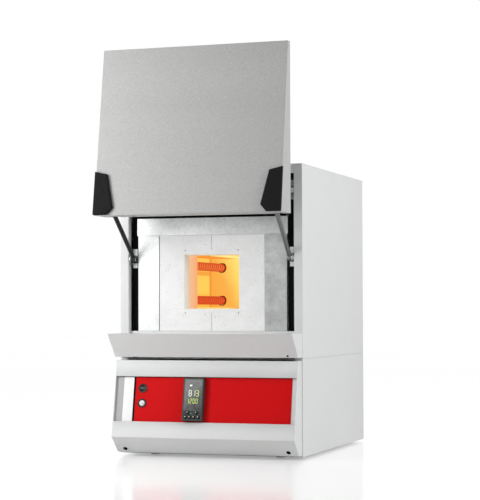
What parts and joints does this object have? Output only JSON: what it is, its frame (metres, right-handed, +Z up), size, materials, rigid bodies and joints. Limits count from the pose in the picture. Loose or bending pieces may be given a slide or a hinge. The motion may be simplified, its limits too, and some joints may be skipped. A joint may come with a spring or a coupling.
{
  "type": "laboratory chamber furnace",
  "caption": "Bench-top chamber furnace: sheet-metal case, brick-lined heated chamber with rod elements, wedge door on parallelogram arms, and a sloped control panel.",
  "frame": {"origin": "on the floor under the middle of the footprint, with the door up", "axes": "+X to the user's right, +Y from the front to the back, +Z up"},
  "size_m": [0.4354, 0.7289, 0.914],
  "materials": {
    "case_paint": "satin",
    "door_paint": "satin",
    "galvanised": "satin",
    "white_brick": "matte",
    "hot_brick": "matte",
    "hot_rod": "matte",
    "fibre_blanket": "matte",
    "black_steel": "satin",
    "arm_steel": "satin",
    "pin_steel": "polished",
    "grip_black": "matte",
    "red_film": "satin",
    "white_film": "satin",
    "grey_film": "matte",
    "controller_black": "satin",
    "display_window": "gloss",
    "key_grey": "matte",
    "bezel_black": "gloss",
    "cap_white": "gloss",
    "foot_rubber": "matte",
    "heat_sink": "satin",
    "terminal_grey": "matte",
    "gland_black": "matte"
  },
  "bodies": {
    "furnace": {"case_left_side": "case_paint", "case_right_side": "case_paint", "case_top": "case_paint", "case_rear": "case_paint", "sill": "case_paint", "hot_box_ledge": "galvanised", "hot_box_casing": "galvanised", "front_plates": "galvanised", "front_bricks": "white_brick", "throat_slabs": "white_brick", "throat_bricks": "hot_brick", "chamber_walls": "hot_brick", "chamber_roof": "hot_brick", "chamber_floor": "hot_brick", "chamber_back": "hot_brick", "hearth_tile": "hot_brick", "backup_insulation": "fibre_blanket", "heating_rods": "hot_rod", "rod_straps": "pin_steel", "thermocouple": "hot_brick", "slot_uprights": "black_steel", "arm_brackets": "galvanised", "arm_pins": "pin_steel", "terminal_cover": "case_paint", "base_deck": "case_paint", "base_tray": "case_paint", "base_left_side": "case_paint", "base_right_side": "case_paint", "base_rear": "case_paint", "base_front": "case_paint", "fascia_plate": "case_paint", "left_end_strip": "grey_film", "blank_plate": "white_film", "red_panel": "red_film", "controller_case": "controller_black", "controller_window": "display_window", "round_bezels": "bezel_black", "feet": "foot_rubber", "power_controller": "heat_sink", "terminal_block": "terminal_grey", "cable_gland": "gland_black", "fuse_holders": "gland_black", "case_screws": "pin_steel"},
    "lower_arms": {"lower_arms": "arm_steel"},
    "door": {"door_shell": "door_paint", "door_inner_panel": "galvanised", "door_plug": "white_brick", "door_insulation": "fibre_blanket", "grip_left": "grip_black", "grip_right": "grip_black", "door_pins": "pin_steel"},
    "upper_arms": {"upper_arms": "arm_steel"},
    "rocker": {"rocker": "bezel_black"},
    "push_button": {"push_button": "cap_white"},
    "key_page": {"key_page": "key_grey"},
    "key_scroll": {"key_scroll": "key_grey"},
    "key_up": {"key_up": "key_grey"},
    "key_down": {"key_down": "key_grey"},
    "key_run": {"key_run": "key_grey"},
    "key_hold": {"key_hold": "key_grey"}
  },
  "joints": [
    {"name": "door_lift", "type": "hinge", "parent": "furnace", "child": "lower_arms", "pos_m": [0, -0.194, 0.4467], "axis": [1, 0, 0], "range_deg": [0, 116.8]},
    {"name": "door_level", "type": "hinge", "parent": "lower_arms", "child": "door", "pos_m": [0, -0.3142, 0.5523], "axis": [1, 0, 0], "range_deg": [-116.8, 0]},
    {"name": "upper_arm_swing", "type": "hinge", "parent": "furnace", "child": "upper_arms", "pos_m": [0, -0.194, 0.5967], "axis": [1, 0, 0], "range_deg": [0, 116.8]},
    {"name": "rocker_tilt", "type": "hinge", "parent": "furnace", "child": "rocker", "pos_m": [-0.1483, -0.2347, 0.15373], "axis": [1, 0, 0], "range_deg": [0, 14]},
    {"name": "push_button_press", "type": "slide", "parent": "furnace", "child": "push_button", "axis": [0, 0.9841, -0.1774], "range_m": [0, 0.0025], "stiffness_N_per_m": 400},
    {"name": "key_page_press", "type": "slide", "parent": "furnace", "child": "key_page", "axis": [0, 0.9841, -0.1774], "range_m": [0, 0.0008], "stiffness_N_per_m": 800},
    {"name": "key_scroll_press", "type": "slide", "parent": "furnace", "child": "key_scroll", "axis": [0, 0.9841, -0.1774], "range_m": [0, 0.0008], "stiffness_N_per_m": 800},
    {"name": "key_up_press", "type": "slide", "parent": "furnace", "child": "key_up", "axis": [0, 0.9841, -0.1774], "range_m": [0, 0.0008], "stiffness_N_per_m": 800},
    {"name": "key_down_press", "type": "slide", "parent": "furnace", "child": "key_down", "axis": [0, 0.9841, -0.1774], "range_m": [0, 0.0008], "stiffness_N_per_m": 800},
    {"name": "key_run_press", "type": "slide", "parent": "furnace", "child": "key_run", "axis": [0, 0.9841, -0.1774], "range_m": [0, 0.0008], "stiffness_N_per_m": 800},
    {"name": "key_hold_press", "type": "slide", "parent": "furnace", "child": "key_hold", "axis": [0, 0.9841, -0.1774], "range_m": [0, 0.0008], "stiffness_N_per_m": 800}
  ],
  "couplings": [
    {"joint": "door_level", "follows": "door_lift", "ratio": -1},
    {"joint": "upper_arm_swing", "follows": "door_lift", "ratio": 1}
  ]
}
